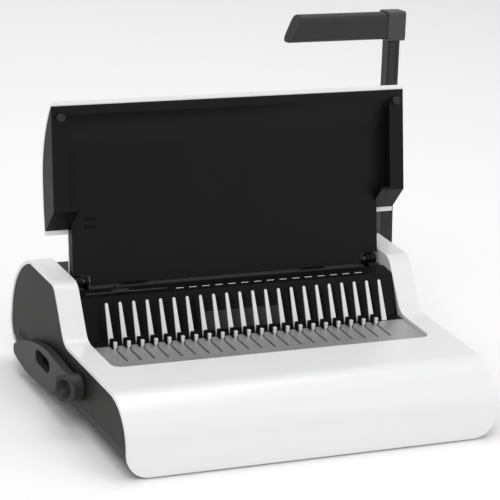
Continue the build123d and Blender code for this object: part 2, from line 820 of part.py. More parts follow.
eccentric_discs.part.label = "eccentric_discs"
export_step(eccentric_discs.part, "parts/eccentric_discs.step")

# Punch bar with its pins and yokes
bar_front_y = throat_back_y + 23
bar_back_y = bar_front_y + 10
with BuildPart() as punch_bar:
    with BuildSketch(Plane.XZ.offset(-bar_back_y)):
        with Locations((0, pin_z)):
            Rectangle(2 * frame_half - 20, 16)
    extrude(amount=bar_back_y - bar_front_y)

punch_bar.part.label = "punch_bar"
export_step(punch_bar.part, "parts/punch_bar.step")

with BuildPart() as punch_pins:
    with BuildSketch(Plane.XZ.offset(-bar_front_y)):
        with Locations((0, pin_z)):
            with GridLocations(pitch, 1, pin_count, 1):
                Rectangle(pin_width, pin_height)
    extrude(amount=bar_front_y - throat_back_y - 0.5)

punch_pins.part.label = "punch_pins"
export_step(punch_pins.part, "parts/punch_pins.step")

slot_half = disc_radius + disc_play
yoke_back_y = yoke_y + slot_half + 6
yoke_foot = punch_z - disc_radius - 4
with BuildPart() as punch_yokes:
    with BuildSketch(Plane.YZ.offset(yoke_x - yoke_thick / 2), Plane.YZ.offset(-yoke_x - yoke_thick / 2)):
        Polygon(
            (bar_back_y, yoke_foot),
            (yoke_back_y, yoke_foot),
            (yoke_back_y, punch_z + 23),
            (yoke_back_y - 7, punch_z + 28),
            (bar_back_y + 10, pin_z + 8),
            (bar_back_y, pin_z + 8),
            align=None,
        )
        with Locations((yoke_y, punch_z + disc_throw - 1)):
            Rectangle(2 * slot_half, 2 * disc_radius + 5, mode=Mode.SUBTRACT)
    extrude(amount=yoke_thick)

punch_yokes.part.label = "punch_yokes"
export_step(punch_yokes.part, "parts/punch_yokes.step")

# Opener lever outside the left panel: scooped boss, arm along the side, finger loop
lever_inner = -half_width - 1.5
lever_outer = -half_width - 22
boss_lean = radians(24)
boss_radius = 13.5
scoop_radius = 9.5
scoop_depth = 8.0
scoop_taper = 32.0
boss_end = Plane(
    origin=(lever_outer + 4.5, opener_y, opener_z),
    x_dir=(0, 0, 1),
    z_dir=(-cos(boss_lean), -sin(boss_lean), 0),
)
bore_depth = 6.0
with BuildPart() as opener_lever:
    with BuildSketch(Plane.YZ.offset(lever_inner - 9)):
        with BuildLine():
            Spline(
                (opener_y, opener_z + 12),
                (opener_y + 26, opener_z + 10),
                (opener_y + 63, opener_z + 12),
                (opener_y + 100, opener_z + 7),
                (opener_y + 152, opener_z - 14),
            )
            ThreePointArc(
                (opener_y + 152, opener_z - 14),
                (opener_y + 155, opener_z - 20),
                (opener_y + 150, opener_z - 26),
            )
            Spline(
                (opener_y + 150, opener_z - 26),
                (opener_y + 108, opener_z - 31),
                (opener_y + 63, opener_z - 26),
                (opener_y + 26, opener_z - 17),
                (opener_y, opener_z - 12),
            )
            Line((opener_y, opener_z - 12), (opener_y, opener_z + 12))
        make_face()
        with Locations((opener_y + 75, opener_z - 3)):
            SlotOverall(38, 14, mode=Mode.SUBTRACT)
    extrude(amount=8)
    with BuildSketch(Plane.YZ.offset(lever_outer)):
        with Locations((opener_y, opener_z)):
            Circle(boss_radius)
    extrude(amount=lever_inner - lever_outer)
    with BuildSketch(boss_end):
        Rectangle(60, 60)
    extrude(amount=30, mode=Mode.SUBTRACT)
    with BuildSketch(boss_end):
        Circle(scoop_radius)
    extrude(amount=-scoop_depth, taper=scoop_taper, mode=Mode.SUBTRACT)
    with BuildSketch(Plane.YZ.offset(lever_inner)):
        with Locations((opener_y, opener_z)):
            Circle(opener_shaft_radius + seat_fit)
    extrude(amount=-bore_depth, mode=Mode.SUBTRACT)

opener_lever.part.label = "opener_lever"
export_step(opener_lever.part, "parts/opener_lever.step")

with BuildPart() as opener_shaft:
    with BuildSketch(Plane.YZ.offset(lever_inner - bore_depth + gap)):
        with Locations((opener_y, opener_z)):
            Circle(opener_shaft_radius)
    extrude(amount=frame_half + frame_thick + 2 - lever_inner + bore_depth - gap)

opener_shaft.part.label = "opener_shaft"
export_step(opener_shaft.part, "parts/opener_shaft.step")

# Pinions with involute teeth, and the racks they push
base_radius = pitch_radius * cos(radians(pressure_angle))
tip_radius = pitch_radius + gear_module
root_radius = pitch_radius - 1.25 * gear_module
pitch_roll = tan(radians(pressure_angle)) - radians(pressure_angle)
flank_points = []
flank_steps = 5
for step in range(flank_steps + 1):
    flank_radius = base_radius + (tip_radius - base_radius) * step / flank_steps
    roll = acos(base_radius / flank_radius)
    half_angle = (pi / 2 - backlash / gear_module) / gear_teeth + pitch_roll - tan(roll) + roll
    flank_points.append((flank_radius * cos(half_angle), flank_radius * sin(half_angle)))
foot_point = (root_radius - 0.5, flank_points[0][1])
tooth_points = [foot_point, *flank_points]
tooth_outline = tooth_points + [(x, -y) for x, y in reversed(tooth_points)]

gear_x = 120.0
gear_thick = 8.0
with BuildPart() as pinions:
    with BuildSketch(Plane.YZ.offset(gear_x - gear_thick / 2), Plane.YZ.offset(-gear_x - gear_thick / 2)):
        with Locations((opener_y, opener_z)):
            Circle(root_radius)
            with PolarLocations(0, gear_teeth):
                Polygon(*tooth_outline, align=None)
            Circle(opener_shaft_radius + seat_fit, mode=Mode.SUBTRACT)
    extrude(amount=gear_thick)

pinions.part.label = "pinions"
export_step(pinions.part, "parts/pinions.step")

rack_slope = tan(radians(pressure_angle))
tooth_half = tooth_pitch / 4 - backlash / 2
rack_tip = tooth_half - gear_module * rack_slope
rack_foot = tooth_half + 1.25 * gear_module * rack_slope
first_tooth = -1.5
last_tooth = 7.5
with BuildPart() as racks:
    with BuildSketch(Plane.YZ.offset(gear_x - gear_thick / 2), Plane.YZ.offset(-gear_x - gear_thick / 2)):
        with Locations((opener_y + (first_tooth - 0.5) * tooth_pitch, rack_root_z)):
            Rectangle(
                (last_tooth - first_tooth + 1) * tooth_pitch,
                rake_bottom - rack_root_z,
                align=(Align.MIN, Align.MIN),
            )
        for tooth in range(int(last_tooth - first_tooth) + 1):
            with Locations((opener_y + (first_tooth + tooth) * tooth_pitch, rack_pitch_z)):
                Polygon(
                    (-rack_foot, 1.25 * gear_module),
                    (rack_foot, 1.25 * gear_module),
                    (rack_tip, -gear_module),
                    (-rack_tip, -gear_module),
                    align=None,
                )
    extrude(amount=gear_thick)

racks.part.label = "racks"
export_step(racks.part, "parts/racks.step")

# Rake: a sliding plate with hooks that pull the comb's rings open
with BuildPart() as rake_plate:
    with BuildSketch(Plane.XY.offset(rake_bottom)):
        with Locations((0, rake_front_y)):
            Rectangle(2 * frame_half - 4, rake_back_y - rake_front_y, align=(Align.CENTER, Align.MIN))
    extrude(amount=rake_top - rake_bottom)

rake_plate.part.label = "rake_plate"
export_step(rake_plate.part, "parts/rake_plate.step")

hook_front = rake_back_y - 7
hook_depth = 3.0
hook_foot = tray_z + 0.5
hook_height = 6.0
with BuildPart() as rake_hooks:
    with BuildSketch(Plane.XZ.offset(-hook_front)):
        for hook in range(pin_count):
            with Locations((comb_start + hook * pitch + hook_shift, 0)):
                Polygon(
                    (-0.7, rake_top),
                    (0.7, rake_top),
                    (0.7, hook_foot),
                    (1.1, hook_foot),
                    (1.6, hook_foot + hook_height),
                    (-1.6, hook_foot + hook_height),
                    (-1.1, hook_foot),
                    (-0.7, hook_foot),
                    align=None,
                )
    extrude(amount=-hook_depth)

rake_hooks.part.label = "rake_hooks"
export_step(rake_hooks.part, "parts/rake_hooks.step")

# Rails on the frames that carry the rake plate's ends
with BuildPart() as rake_rails:
    with BuildSketch(Plane.XY.offset(rake_bottom - gap)):
        for side in (-1, 1):
            with Locations((side * (frame_half - 2.5), rake_front_y - rake_travel - 4)):
                Rectangle(5, rake_travel + 50, align=(Align.CENTER, Align.MIN))
    extrude(amount=-2.5)

rake_rails.part.label = "rake_rails"
export_step(rake_rails.part, "parts/rake_rails.step")

# Chip drawer that slides out at the back
drawer_front_y = rear_y - 137.0
drawer_bottom = pan_floor + gap
with BuildPart() as chip_drawer:
    with BuildSketch(Plane.XY.offset(drawer_bottom)):
        with Locations((0, drawer_front_y)):
            Rectangle(2 * drawer_half, heel_y - drawer_front_y, align=(Align.CENTER, Align.MIN))
    extrude(amount=drawer_top - drawer_bottom)
    with BuildSketch(Plane.XY.offset(drawer_bottom + 2)):
        with Locations((0, drawer_front_y + 2)):
            Rectangle(2 * drawer_half - 4, heel_y - drawer_front_y - 4, align=(Align.CENTER, Align.MIN))
    extrude(amount=40, mode=Mode.SUBTRACT)
    with BuildSketch(Plane.YZ):
        Polygon(
            (heel_y, drawer_bottom),
            (rear_y - 5, drawer_bottom),
            (rear_y - 0.5, drawer_bottom + 6),
            (rear_y - 0.5, drawer_top - 4),
            (heel_y + 5, drawer_top - 2.5),
            (heel_y, drawer_top),
            align=None,
        )
    extrude(amount=drawer_half, both=True)

chip_drawer.part.label = "chip_drawer"
export_step(chip_drawer.part, "parts/chip_drawer.step")
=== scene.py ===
"""Visual model of a manual comb binding machine: shell, punch, comb opener, lid, handle and chip drawer."""

import json
import logging
from dataclasses import dataclass
from enum import Enum
from math import radians

import bmesh
import bpy
from mathutils import Matrix, Vector


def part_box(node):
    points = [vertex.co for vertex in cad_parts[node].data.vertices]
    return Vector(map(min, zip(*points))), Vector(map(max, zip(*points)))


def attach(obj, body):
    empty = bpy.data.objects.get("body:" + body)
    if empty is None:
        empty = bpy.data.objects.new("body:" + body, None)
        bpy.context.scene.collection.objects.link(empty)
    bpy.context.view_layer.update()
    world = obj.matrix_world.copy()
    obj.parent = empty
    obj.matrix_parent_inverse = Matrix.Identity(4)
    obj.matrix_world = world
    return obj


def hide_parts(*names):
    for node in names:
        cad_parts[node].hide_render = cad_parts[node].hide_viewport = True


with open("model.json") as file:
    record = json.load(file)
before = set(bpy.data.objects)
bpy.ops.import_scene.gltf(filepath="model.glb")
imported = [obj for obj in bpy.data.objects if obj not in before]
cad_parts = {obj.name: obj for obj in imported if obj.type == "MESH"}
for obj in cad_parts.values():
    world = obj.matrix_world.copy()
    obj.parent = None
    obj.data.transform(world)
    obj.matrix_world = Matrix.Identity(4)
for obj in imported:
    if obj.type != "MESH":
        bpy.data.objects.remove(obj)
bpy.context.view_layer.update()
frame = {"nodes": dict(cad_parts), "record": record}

log = logging.getLogger("comb_binder")
Node = bpy.types.Node
Socket = bpy.types.NodeSocket
Shape = bmesh.types.BMesh
Material = bpy.types.Material
Piece = bpy.types.Object

MM = 0.001

# Cleaning and shading of the CAD meshes.
MERGE_DISTANCE = 2e-6  # metres; points closer than this are one
FLAT_ANGLE = 0.4  # degrees; faces that differ less are one flat face
SHARP_ANGLE = 35.0  # degrees; edges sharper than this are rounded
CREASE_ANGLE = 40.0  # degrees; edges sharper than this keep a crease in the shading

# What all finishes share.
COAT_ROUGHNESS = 0.08
MOTTLE_SCALE = 26.0
BUMP_DISTANCE = 0.0002
WORN_GAIN = 1.5
WORN_LIFT = 0.06
MID_GREY = (0.5, 0.5, 0.5, 1.0)

# Sockets of a mix node that is set to colour.
MIX_FIRST = 6
MIX_SECOND = 7
MIX_RESULT = 2


class Grain(Enum):
    """Kind of fine surface structure that a finish has."""

    SPARK = "spark eroded plastic"
    BRUSHED = "brushed along the machine's width"
    SMOOTH = "polished plastic"


ROUGHNESS_SPREAD = {Grain.SPARK: 0.16, Grain.BRUSHED: 0.3, Grain.SMOOTH: 0.02}


@dataclass(frozen=True)
class Finish:
    """One surface finish, written in the maker's own terms.

    Attributes:
        name: name of the material.
        colour: base colour, linear.
        roughness: middle value of roughness.
        grain: kind of fine structure.
        grain_size: size of the grain in metres.
        grain_depth: strength of the grain in the bump.
        mottling: how far the colour drifts, as a fraction.
        metallic: 1 for bare metal.
        coat: weight of a clear gloss coat.
        wear: how much edges lighten.
        dust: how much dust lies on upward faces.
        gloss: level of the mirror-like part of the surface's reflection.
    """

    name: str
    colour: tuple[float, float, float]
    roughness: float
    grain: Grain
    grain_size: float
    grain_depth: float
    mottling: float = 0.06
    metallic: float = 0.0
    coat: float = 0.0
    wear: float = 0.1
    dust: float = 0.05
    gloss: float = 0.5


class Wiring:
    """Adds nodes to one node tree and joins them."""

    def __init__(self, tree: bpy.types.NodeTree) -> None:
        """Keeps the tree that nodes are added to."""
        self.tree = tree

    def add(self, kind: str, **settings: object) -> Node:
        """Adds a node.

        Args:
            kind: type name of the node.
            settings: attributes to set on it.

        Returns:
            The new node.
        """
        node = self.tree.nodes.new(kind)
        for key, value in settings.items():
            setattr(node, key, value)
        return node

    def join(self, source: bpy.types.NodeSocket, target: bpy.types.NodeSocket) -> None:
        """Links one socket to another."""
        self.tree.links.new(source, target)

    def feed(self, target: Socket, value: object) -> None:
        """Links an input to a socket, or sets it to a plain value."""
        if isinstance(value, Socket):
            self.join(value, target)
        else:
            target.default_value = value

    def place(self) -> Socket:
        """Adds the object's own coordinates and gives their socket."""
        return self.add("ShaderNodeTexCoord").outputs["Object"]

    def noise(self, vector: Socket, scale: object, detail: float) -> Socket:
        """Adds a noise texture.

        Args:
            vector: coordinates it reads.
            scale: number of features in a metre, or a socket that gives it.
            detail: octaves.

        Returns:
            The socket of its value.
        """
        node = self.add("ShaderNodeTexNoise")
        for key, value in (("Vector", vector), ("Scale", scale), ("Detail", detail)):
            self.feed(node.inputs[key], value)
        return node.outputs["Fac"]

    def math(self, operation: str, first: object, second: object, clamp: bool = False) -> Socket:
        """Adds a calculation with two values.

        Args:
            operation: what is done with them.
            first: a socket or a number.
            second: a socket or a number.
            clamp: whether the result is kept between 0 and 1.

        Returns:
            The socket of the result.
        """
        node = self.add("ShaderNodeMath", operation=operation, use_clamp=clamp)
        self.feed(node.inputs[0], first)
        self.feed(node.inputs[1], second)
        return node.outputs[0]


def new_group(name: str, inputs: dict[str, object], outputs: dict[str, str]) -> tuple[Wiring, Node, Node]:
    """Makes an empty shader group with named sockets.

    Args:
        name: name of the group.
        inputs: default value of each input; a tuple makes a colour and a number makes a value.
        outputs: socket type of each output.

    Returns:
        The wiring of the group, its input node and its output node.
    """
    tree = bpy.data.node_groups.new(name, "ShaderNodeTree")
    for key, value in inputs.items():
        kind = "NodeSocketColor" if isinstance(value, tuple) else "NodeSocketFloat"
        socket = tree.interface.new_socket(name=key, in_out="INPUT", socket_type=kind)
        socket.default_value = value
    for key, kind in outputs.items():
        tree.interface.new_socket(name=key, in_out="OUTPUT", socket_type=kind)
    wiring = Wiring(tree)
    return wiring, wiring.add("NodeGroupInput"), wiring.add("NodeGroupOutput")


class Effects:
    """Shared surface effects, each a node group that is built once.

    Attributes:
        patch_scale: features in a metre of the slow change in roughness.
        brush_stretch: how far the brush lines are drawn out, by axis.
        worn_edge: how pointed an edge is where wear begins, and where it is full.
        wear_scale: features in a metre of the noise that breaks up the wear.
        dust_from: upward part of a face's normal from which dust lies on it.
        dust_scale: features in a metre of the dust.
    """

    patch_scale = 14.0
    brush_stretch = (0.02, 1.0, 1.0)
    worn_edge = (0.53, 0.62)
    wear_scale = 260.0
    dust_from = 0.3
    dust_scale = 90.0

    def __init__(self) -> None:
        """Builds every group."""
        self.grain = self.build_grain()
        self.brushing = self.build_brushing()
        self.mottle = self.build_mottle()
        self.edge_wear = self.build_edge_wear()
        self.dust = self.build_dust()

    def spread_roughness(self, wiring: Wiring, given: Node, texture: Socket) -> Socket:
        """Spreads the roughness that a group is given around its middle value.

        Args:
            wiring: wiring of the group.
            given: input node of the group.
            texture: value from 0 to 1 that the roughness follows.

        Returns:
            The socket of the roughness.
        """
        centred = wiring.math("SUBTRACT", texture, 0.5)
        spread = wiring.math("MULTIPLY", centred, given.outputs["Spread"])
        return wiring.math("ADD", spread, given.outputs["Roughness"], clamp=True)

    def blend_colour(self, wiring: Wiring, given: Node, result: Node, second: str, where: Socket) -> None:
        """Ends a group by blending the colour that it is given into a second one.

        Args:
            wiring: wiring of the group.
            given: input node of the group.
            result: output node of the group.
            second: name of the input that holds the second colour.
            where: how much of it there is, before the group's amount is applied.
        """
        mask = wiring.math("MULTIPLY", where, given.outputs["Amount"], clamp=True)
        blend = wiring.add("ShaderNodeMix", data_type="RGBA")
        wiring.join(mask, blend.inputs["Factor"])
        wiring.join(given.outputs["Colour"], blend.inputs[MIX_FIRST])
        wiring.join(given.outputs[second], blend.inputs[MIX_SECOND])
        wiring.join(blend.outputs[MIX_RESULT], result.inputs["Colour"])

    def build_grain(self) -> bpy.types.NodeTree:
        """Fine moulded grain: a height and a roughness that change over the surface."""
        wiring, given, result = new_group(
            "moulded_grain",
            {"Scale": 900.0, "Roughness": 0.5, "Spread": 0.1},
            {"Height": "NodeSocketFloat", "Roughness": "NodeSocketFloat"},
        )
        place = wiring.place()
        fine = wiring.noise(place, given.outputs["Scale"], 2.0)
        wide = wiring.noise(place, self.patch_scale, 4.0)
        wiring.join(fine, result.inputs["Height"])
        wiring.join(self.spread_roughness(wiring, given, wide), result.inputs["Roughness"])
        return wiring.tree

    def build_brushing(self) -> bpy.types.NodeTree:
        """Brush lines along X: a height and a roughness drawn out along the machine's width."""
        wiring, given, result = new_group(
            "brush_lines",
            {"Scale": 900.0, "Roughness": 0.3, "Spread": 0.2},
            {"Height": "NodeSocketFloat", "Roughness": "NodeSocketFloat"},
        )
        stretch = wiring.add("ShaderNodeMapping")
        wiring.feed(stretch.inputs["Scale"], self.brush_stretch)
        wiring.join(wiring.place(), stretch.inputs["Vector"])
        lines = wiring.noise(stretch.outputs["Vector"], given.outputs["Scale"], 4.0)
        wiring.join(lines, result.inputs["Height"])
        wiring.join(self.spread_roughness(wiring, given, lines), result.inputs["Roughness"])
        return wiring.tree

    def build_mottle(self) -> bpy.types.NodeTree:
        """Slow drift of the colour, as in moulded or plated stock."""
        wiring, given, result = new_group(
            "colour_mottle",
            {"Colour": MID_GREY, "Amount": 0.06, "Scale": 30.0},
            {"Colour": "NodeSocketColor"},
        )
        gain = wiring.add("ShaderNodeMapRange")
        wiring.join(wiring.noise(wiring.place(), given.outputs["Scale"], 5.0), gain.inputs["Value"])
        wiring.join(wiring.math("SUBTRACT", 1.0, given.outputs["Amount"]), gain.inputs["To Min"])
        wiring.join(wiring.math("ADD", 1.0, given.outputs["Amount"]), gain.inputs["To Max"])
        tone = wiring.add("ShaderNodeVectorMath", operation="SCALE")
        wiring.join(given.outputs["Colour"], tone.inputs[0])
        wiring.join(gain.outputs["Result"], tone.inputs["Scale"])
        wiring.join(tone.outputs["Vector"], result.inputs["Colour"])
        return wiring.tree

    def build_edge_wear(self) -> bpy.types.NodeTree:
        """Lighter, rubbed edges, broken up by noise."""
        wiring, given, result = new_group(
            "edge_wear",
            {"Colour": MID_GREY, "Worn colour": (0.8, 0.8, 0.8, 1.0), "Amount": 0.1},
            {"Colour": "NodeSocketColor"},
        )
        edge = wiring.add("ShaderNodeMapRange")
        for key, value in zip(("From Min", "From Max"), self.worn_edge):
            wiring.feed(edge.inputs[key], value)
        wiring.join(wiring.add("ShaderNodeNewGeometry").outputs["Pointiness"], edge.inputs["Value"])
        broken = wiring.noise(wiring.place(), self.wear_scale, 4.0)
        patch = wiring.math("MULTIPLY", edge.outputs["Result"], broken)
        self.blend_colour(wiring, given, result, "Worn colour", patch)
        return wiring.tree

    def build_dust(self) -> bpy.types.NodeTree:
        """A thin veil of dust on faces that look up."""
        wiring, given, result = new_group(
            "dust_veil",
            {"Colour": MID_GREY, "Dust colour": (0.62, 0.61, 0.58, 1.0), "Amount": 0.05},
            {"Colour": "NodeSocketColor"},
        )
        split = wiring.add("ShaderNodeSeparateXYZ")
        wiring.join(wiring.add("ShaderNodeNewGeometry").outputs["Normal"], split.inputs[0])
        upward = wiring.add("ShaderNodeMapRange")
        wiring.feed(upward.inputs["From Min"], self.dust_from)
        wiring.join(split.outputs["Z"], upward.inputs["Value"])
        specks = wiring.noise(wiring.place(), self.dust_scale, 8.0)
        patch = wiring.math("MULTIPLY", upward.outputs["Result"], specks)
        self.blend_colour(wiring, given, result, "Dust colour", patch)
        return wiring.tree


class Palette:
    """Makes each finish's material once, from the shared effects."""

    def __init__(self) -> None:
        """Builds the effects and an empty store of materials."""
        self.effects = Effects()
        self.made: dict[str, Material] = {}

    def material(self, finish: Finish) -> Material:
        """Gives the material of a finish.

        Args:
            finish: the finish that is wanted.

        Returns:
            Its material, made on first use.
        """
        if finish.name not in self.made:
            self.made[finish.name] = self.make(finish)
        return self.made[finish.name]

    def place_group(self, wiring: Wiring, tree: bpy.types.NodeTree, **values: object) -> Node:
        """Places a shared group in a material.

        Args:
            wiring: wiring of the material.
            tree: the group.
            values: input values by name, with _ for a space.

        Returns:
            The group node.
        """
        node = wiring.add("ShaderNodeGroup", node_tree=tree)
        for key, value in values.items():
            node.inputs[key.replace("_", " ")].default_value = value
        return node

    def make(self, finish: Finish) -> Material:
        """Builds the material of a finish.

        Args:
            finish: the finish to build.

        Returns:
            The new material.
        """
        material = bpy.data.materials.new(finish.name)
        material.use_nodes = True
        wiring = Wiring(material.node_tree)
        shader = material.node_tree.nodes["Principled BSDF"]
        shader.inputs["Metallic"].default_value = finish.metallic
        shader.inputs["Coat Weight"].default_value = finish.coat
        shader.inputs["Coat Roughness"].default_value = COAT_ROUGHNESS
        shader.inputs["Specular IOR Level"].default_value = finish.gloss
        lighter = tuple(min(1.0, c * WORN_GAIN + WORN_LIFT) for c in finish.colour)
        mottle = self.place_group(
            wiring,
            self.effects.mottle,
            Colour=(*finish.colour, 1.0),
            Amount=finish.mottling,
            Scale=MOTTLE_SCALE,
        )
        wear = self.place_group(
            wiring, self.effects.edge_wear, Worn_colour=(*lighter, 1.0), Amount=finish.wear
        )
        dust = self.place_group(wiring, self.effects.dust, Amount=finish.dust)
        wiring.join(mottle.outputs["Colour"], wear.inputs["Colour"])
        wiring.join(wear.outputs["Colour"], dust.inputs["Colour"])
        wiring.join(dust.outputs["Colour"], shader.inputs["Base Color"])
        tree = self.effects.brushing if finish.grain is Grain.BRUSHED else self.effects.grain
        spread = ROUGHNESS_SPREAD[finish.grain]
        grain = self.place_group(
            wiring, tree, Scale=1.0 / finish.grain_size, Roughness=finish.roughness, Spread=spread
        )
        wiring.join(grain.outputs["Roughness"], shader.inputs["Roughness"])
        bump = wiring.add("ShaderNodeBump")
        bump.inputs["Strength"].default_value = finish.grain_depth
        bump.inputs["Distance"].default_value = BUMP_DISTANCE
        wiring.join(grain.outputs["Height"], bump.inputs["Height"])
        wiring.join(bump.outputs["Normal"], shader.inputs["Normal"])
        return material


WHITE_SHELL = Finish(
    "white_shell",
    (0.86, 0.86, 0.865),
    0.28,
    Grain.SMOOTH,
    0.0012,
    0.05,
    0.012,
    coat=0.25,
    wear=0.02,
    dust=0.01,
)
GREY_PANEL = Finish(
    "grey_panel", (0.022, 0.0215, 0.0205), 0.5, Grain.SPARK, 0.0009, 0.3, 0.1, dust=0.02, gloss=0.2
)
HANDLE_GREY = Finish(
    "handle_grey", (0.031, 0.031, 0.031), 0.42, Grain.SPARK, 0.0008, 0.25, 0.08, dust=0.02, gloss=0.25
)
CORNER_GREY = Finish(
    "corner_grey", (0.05, 0.051, 0.053), 0.4, Grain.SPARK, 0.0007, 0.2, 0.06, wear=0.15, gloss=0.4
)
PAN_DARK = Finish("pan_dark", (0.028, 0.028, 0.028), 0.6, Grain.SPARK, 0.001, 0.4, 0.12)
FOOT_RUBBER = Finish("foot_rubber", (0.02, 0.02, 0.02), 0.85, Grain.SPARK, 0.0006, 0.5, 0.2)
TRAY_METAL = Finish(
    "tray_metal", (0.47, 0.47, 0.475), 0.42, Grain.BRUSHED, 0.0007, 0.16, 0.12, 0.75, wear=0.15
)
FINGER_METAL = Finish(
    "finger_metal", (0.76, 0.76, 0.76), 0.38, Grain.SPARK, 0.0006, 0.15, 0.05, 0.35, wear=0.1
)
BLACK_COVER = Finish(
    "black_cover", (0.0032, 0.0032, 0.0034), 0.36, Grain.SPARK, 0.0008, 0.2, 0.15, dust=0.006, gloss=0.12
)
GUIDE_PLATE = Finish("guide_plate", (0.02, 0.02, 0.021), 0.4, Grain.SPARK, 0.0007, 0.2, 0.1, gloss=0.3)
STEEL = Finish("steel", (0.42, 0.42, 0.43), 0.3, Grain.BRUSHED, 0.0005, 0.2, 0.08, 1.0, wear=0.2)
ZINC = Finish("zinc", (0.5, 0.5, 0.49), 0.4, Grain.SPARK, 0.003, 0.12, 0.14, 0.9, wear=0.1)
BRASS = Finish("brass", (0.62, 0.45, 0.2), 0.38, Grain.SPARK, 0.0008, 0.2, 0.08, 1.0)
LID_DARK = Finish(
    "lid_dark", (0.0058, 0.0057, 0.0058), 0.4, Grain.SPARK, 0.0009, 0.25, 0.15, dust=0.01, gloss=0.16
)
HOOK_WHITE = Finish("hook_white", (0.8, 0.8, 0.79), 0.3, Grain.SMOOTH, 0.001, 0.08, 0.03)
DRAWER_DARK = Finish("drawer_dark", (0.025, 0.025, 0.026), 0.5, Grain.SPARK, 0.0009, 0.3, 0.1)

FINISHES = {
    finish.name: finish
    for finish in (
        WHITE_SHELL, GREY_PANEL, HANDLE_GREY, CORNER_GREY, PAN_DARK, FOOT_RUBBER, TRAY_METAL, FINGER_METAL,
        BLACK_COVER, GUIDE_PLATE, STEEL, ZINC, BRASS, LID_DARK, HOOK_WHITE, DRAWER_DARK,
    )
}  # fmt: skip


@dataclass(frozen=True)
class Rounding:
    """Rounding of a shape's edges.

    Attributes:
        width: its width in millimetres.
        steps: number of steps in it.
    """

    width: float
    steps: int = 2

    def apply(self, bm: Shape, edges: list[bmesh.types.BMEdge]) -> None:
        """Rounds some edges of a shape."""
        bmesh.ops.bevel(
            bm,
            geom=edges,
            offset=self.width * MM,
            offset_type="OFFSET",
            affect="EDGES",
            segments=self.steps,
            profile=0.5,
            clamp_overlap=True,
            material=-1,
        )


class Workshop:
    """Turns meshes into finished pieces of the machine."""

    def __init__(self, palette: Palette) -> None:
        """Keeps the palette and reads which body and slot each CAD node has."""
        self.palette = palette
        record = frame["record"]
        self.body_of = {
            node: body for body, nodes in record["behaviour"]["bodies"].items() for node in nodes
        }
        self.slot_of = {entry["node"]: entry["material_slot"] for entry in record["subparts"]}

    def piece(self, name: str, bm: Shape, body: str, finish: Finish) -> Piece:
        """Makes a finished piece of a bmesh.

        Args:
            name: name of the piece.
            bm: its shape, in the shared frame, in metres; freed here.
            body: body that it rides on.
            finish: its finish, whose name is also its slot.

        Returns:
            The new object.
        """
        mesh = bpy.data.meshes.new(name)
        for face in bm.faces:
            face.smooth = True
        bm.to_mesh(mesh)
        bm.free()
        mesh.set_sharp_from_angle(angle=radians(CREASE_ANGLE))
        mesh.materials.append(self.palette.material(finish))
        made = bpy.data.objects.new(name, mesh)
        bpy.context.scene.collection.objects.link(made)
        weighted = made.modifiers.new("even_normals", "WEIGHTED_NORMAL")
        weighted.keep_sharp = True
        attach(made, body)
        log.info("%s on %s, %d faces", name, body, len(mesh.polygons))
        return made

    def shape_of(self, node: str) -> Shape:
        """Merged copy of a CAD node's mesh with its flat faces joined.

        Args:
            node: name of the CAD node.

        Returns:
            The copy.
        """
        bm = bmesh.new()
        bm.from_mesh(frame["nodes"][node].data)
        bmesh.ops.remove_doubles(bm, verts=bm.verts[:], dist=MERGE_DISTANCE)
        bmesh.ops.dissolve_limit(
            bm,
            angle_limit=radians(FLAT_ANGLE),
            verts=bm.verts[:],
            edges=bm.edges[:],
            delimit={"NORMAL"},
        )
        return bm

    def finished(self, rounding: Rounding, *nodes: str) -> None:
        """Makes the finished pieces of CAD nodes, with their edges rounded.

        Args:
            rounding: rounding of their edges.
            nodes: names of the CAD nodes that they stand for.
        """
        for node in nodes:
            bm = self.shape_of(node)
            edges = [
                edge
                for edge in bm.edges
                if len(edge.link_faces) == 2 and edge.calc_face_angle(0.0) > radians(SHARP_ANGLE)
            ]
            if edges:
                rounding.apply(bm, edges)
            finish = FINISHES[self.slot_of[node]]
            made = self.piece(f"{node}_finished", bm, self.body_of[node], finish)
            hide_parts(node)


def rounded_block(low: Vector, high: Vector, rounding: Rounding) -> Shape:
    """Makes a block with rounded edges.

    Args:
        low: lowest corner, metres.
        high: highest corner, metres.
        rounding: rounding of its edges.

    Returns:
        The block.
    """
    bm = bmesh.new()
    size = high - low
    place = Matrix.Translation((low + high) / 2) @ Matrix.Diagonal((*size, 1.0))
    bmesh.ops.create_cube(bm, size=1.0, matrix=place)
    rounding.apply(bm, bm.edges[:])
    return bm


def join_shapes(shapes: list[Shape]) -> Shape:
    """Joins shapes that don't touch into one.

    Args:
        shapes: the shapes; each is freed here.

    Returns:
        One bmesh that holds them all.
    """
    whole = bmesh.new()
    for shape in shapes:
        scratch = bpy.data.meshes.new("scratch")
        shape.to_mesh(scratch)
        shape.free()
        whole.from_mesh(scratch)
        bpy.data.meshes.remove(scratch)
    return whole


def lean_shapes(shapes: list[Shape], lean: float, box: tuple[Vector, Vector]) -> Shape:
    """Joins shapes that are drawn upright at the origin, and leans them back around an axis.

    Args:
        shapes: the shapes; each is freed here.
        lean: how far they lean back, in degrees.
        box: corners of a box whose middle is on the axis, in metres.

    Returns:
        One bmesh that holds them all.
    """
    low, high = box
    whole = join_shapes(shapes)
    turn = Matrix.Rotation(-radians(lean), 3, "X")
    bmesh.ops.rotate(whole, verts=whole.verts[:], cent=(0, 0, 0), matrix=turn)
    axis = Vector((0, (low.y + high.y) / 2, (low.z + high.z) / 2))
    bmesh.ops.translate(whole, verts=whole.verts[:], vec=axis)
    return whole


